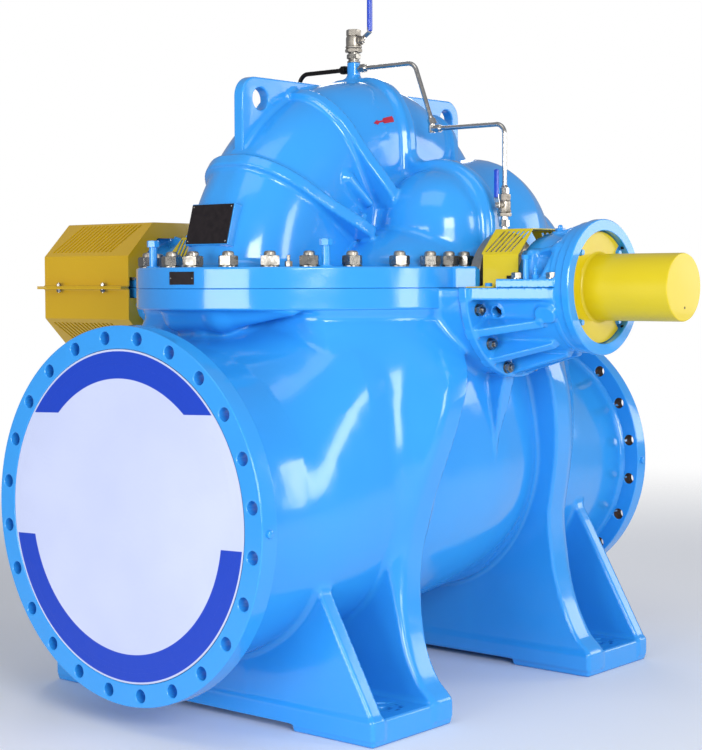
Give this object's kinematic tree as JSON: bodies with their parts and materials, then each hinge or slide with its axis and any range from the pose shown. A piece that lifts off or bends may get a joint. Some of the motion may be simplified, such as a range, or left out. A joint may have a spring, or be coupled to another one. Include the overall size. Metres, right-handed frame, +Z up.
{
  "type": "split-case centrifugal pump",
  "caption": "Horizontal split-case water pump on cast legs, with port flanges at both sides, bearing brackets, yellow shaft guards, a vent valve and seal flush lines.",
  "frame": {"origin": "on the floor, midway between the outer ends of the two guards and between the two port faces; the middle of the casing is 39 mm from it towards +X", "axes": "+X along the shaft towards the tubular guard, +Y along the flow from the suction port to the discharge port, +Z up"},
  "size_m": [2.062, 1.72, 1.8077],
  "materials": {
    "blue_enamel": "gloss sky-blue enamel on cast iron",
    "yellow_enamel": "semi-gloss yellow enamel on sheet steel",
    "bright_steel": "bright stainless and zinc-plated steel",
    "lever_vinyl": "deep blue dipped vinyl",
    "cover_sheet": "white film with blue bands",
    "dark_plate": "dark anodised plate"
  },
  "bodies": {
    "root": {"upper_casing": "blue_enamel", "lower_casing": "blue_enamel", "suction_flange": "blue_enamel", "discharge_flange": "blue_enamel", "bearing_bracket_right": "blue_enamel", "bearing_bracket_left": "blue_enamel", "bearing_cap_right": "blue_enamel", "bearing_cap_left": "blue_enamel", "bearing_cover_right": "blue_enamel", "bearing_cover_left": "blue_enamel", "shaft_end_guard": "yellow_enamel", "gland_guard_right": "yellow_enamel", "gland_guard_left": "yellow_enamel", "end_guard_upper": "yellow_enamel", "end_guard_lower": "yellow_enamel", "end_guard_end_plate": "yellow_enamel", "end_guard_mounting_plate": "yellow_enamel", "seal_gland_right": "bright_steel", "seal_gland_left": "bright_steel", "shaft_right": "bright_steel", "shaft_left": "bright_steel", "shaft_end_left": "bright_steel", "vent_nipple": "bright_steel", "vent_valve": "bright_steel", "flush_fitting_right": "bright_steel", "flush_fitting_left": "bright_steel", "flush_pipe_upper_right": "bright_steel", "flush_pipe_upper_left": "bright_steel", "flush_elbow_right": "bright_steel", "flush_elbow_left": "bright_steel", "flush_pipe_lower_right": "bright_steel", "flush_pipe_lower_left": "bright_steel", "flush_nut_right": "bright_steel", "flush_nut_left": "bright_steel", "flush_valve_right": "bright_steel", "flush_valve_left": "bright_steel", "flush_union_right": "bright_steel", "flush_union_left": "bright_steel", "suction_cover_sheet": "cover_sheet", "discharge_cover_sheet": "cover_sheet", "name_plate": "dark_plate"},
    "vent_lever": {"vent_valve_lever": "lever_vinyl"},
    "flush_lever_right": {"flush_valve_right_lever": "lever_vinyl"},
    "flush_lever_left": {"flush_valve_left_lever": "lever_vinyl"}
  },
  "joints": [
    {"name": "vent_valve_turn", "type": "hinge", "parent": "root", "child": "vent_lever", "pos_m": [0.0623, 0, 1.7015], "axis": [1, 0, 0], "range_deg": [0, 90]},
    {"name": "flush_valve_right_turn", "type": "hinge", "parent": "root", "child": "flush_lever_right", "pos_m": [0.522, -0.0283, 1.248], "axis": [0, 1, 0], "range_deg": [0, 90]},
    {"name": "flush_valve_left_turn", "type": "hinge", "parent": "root", "child": "flush_lever_left", "pos_m": [-0.444, -0.0283, 1.248], "axis": [0, -1, 0], "range_deg": [0, 90]}
  ]
}
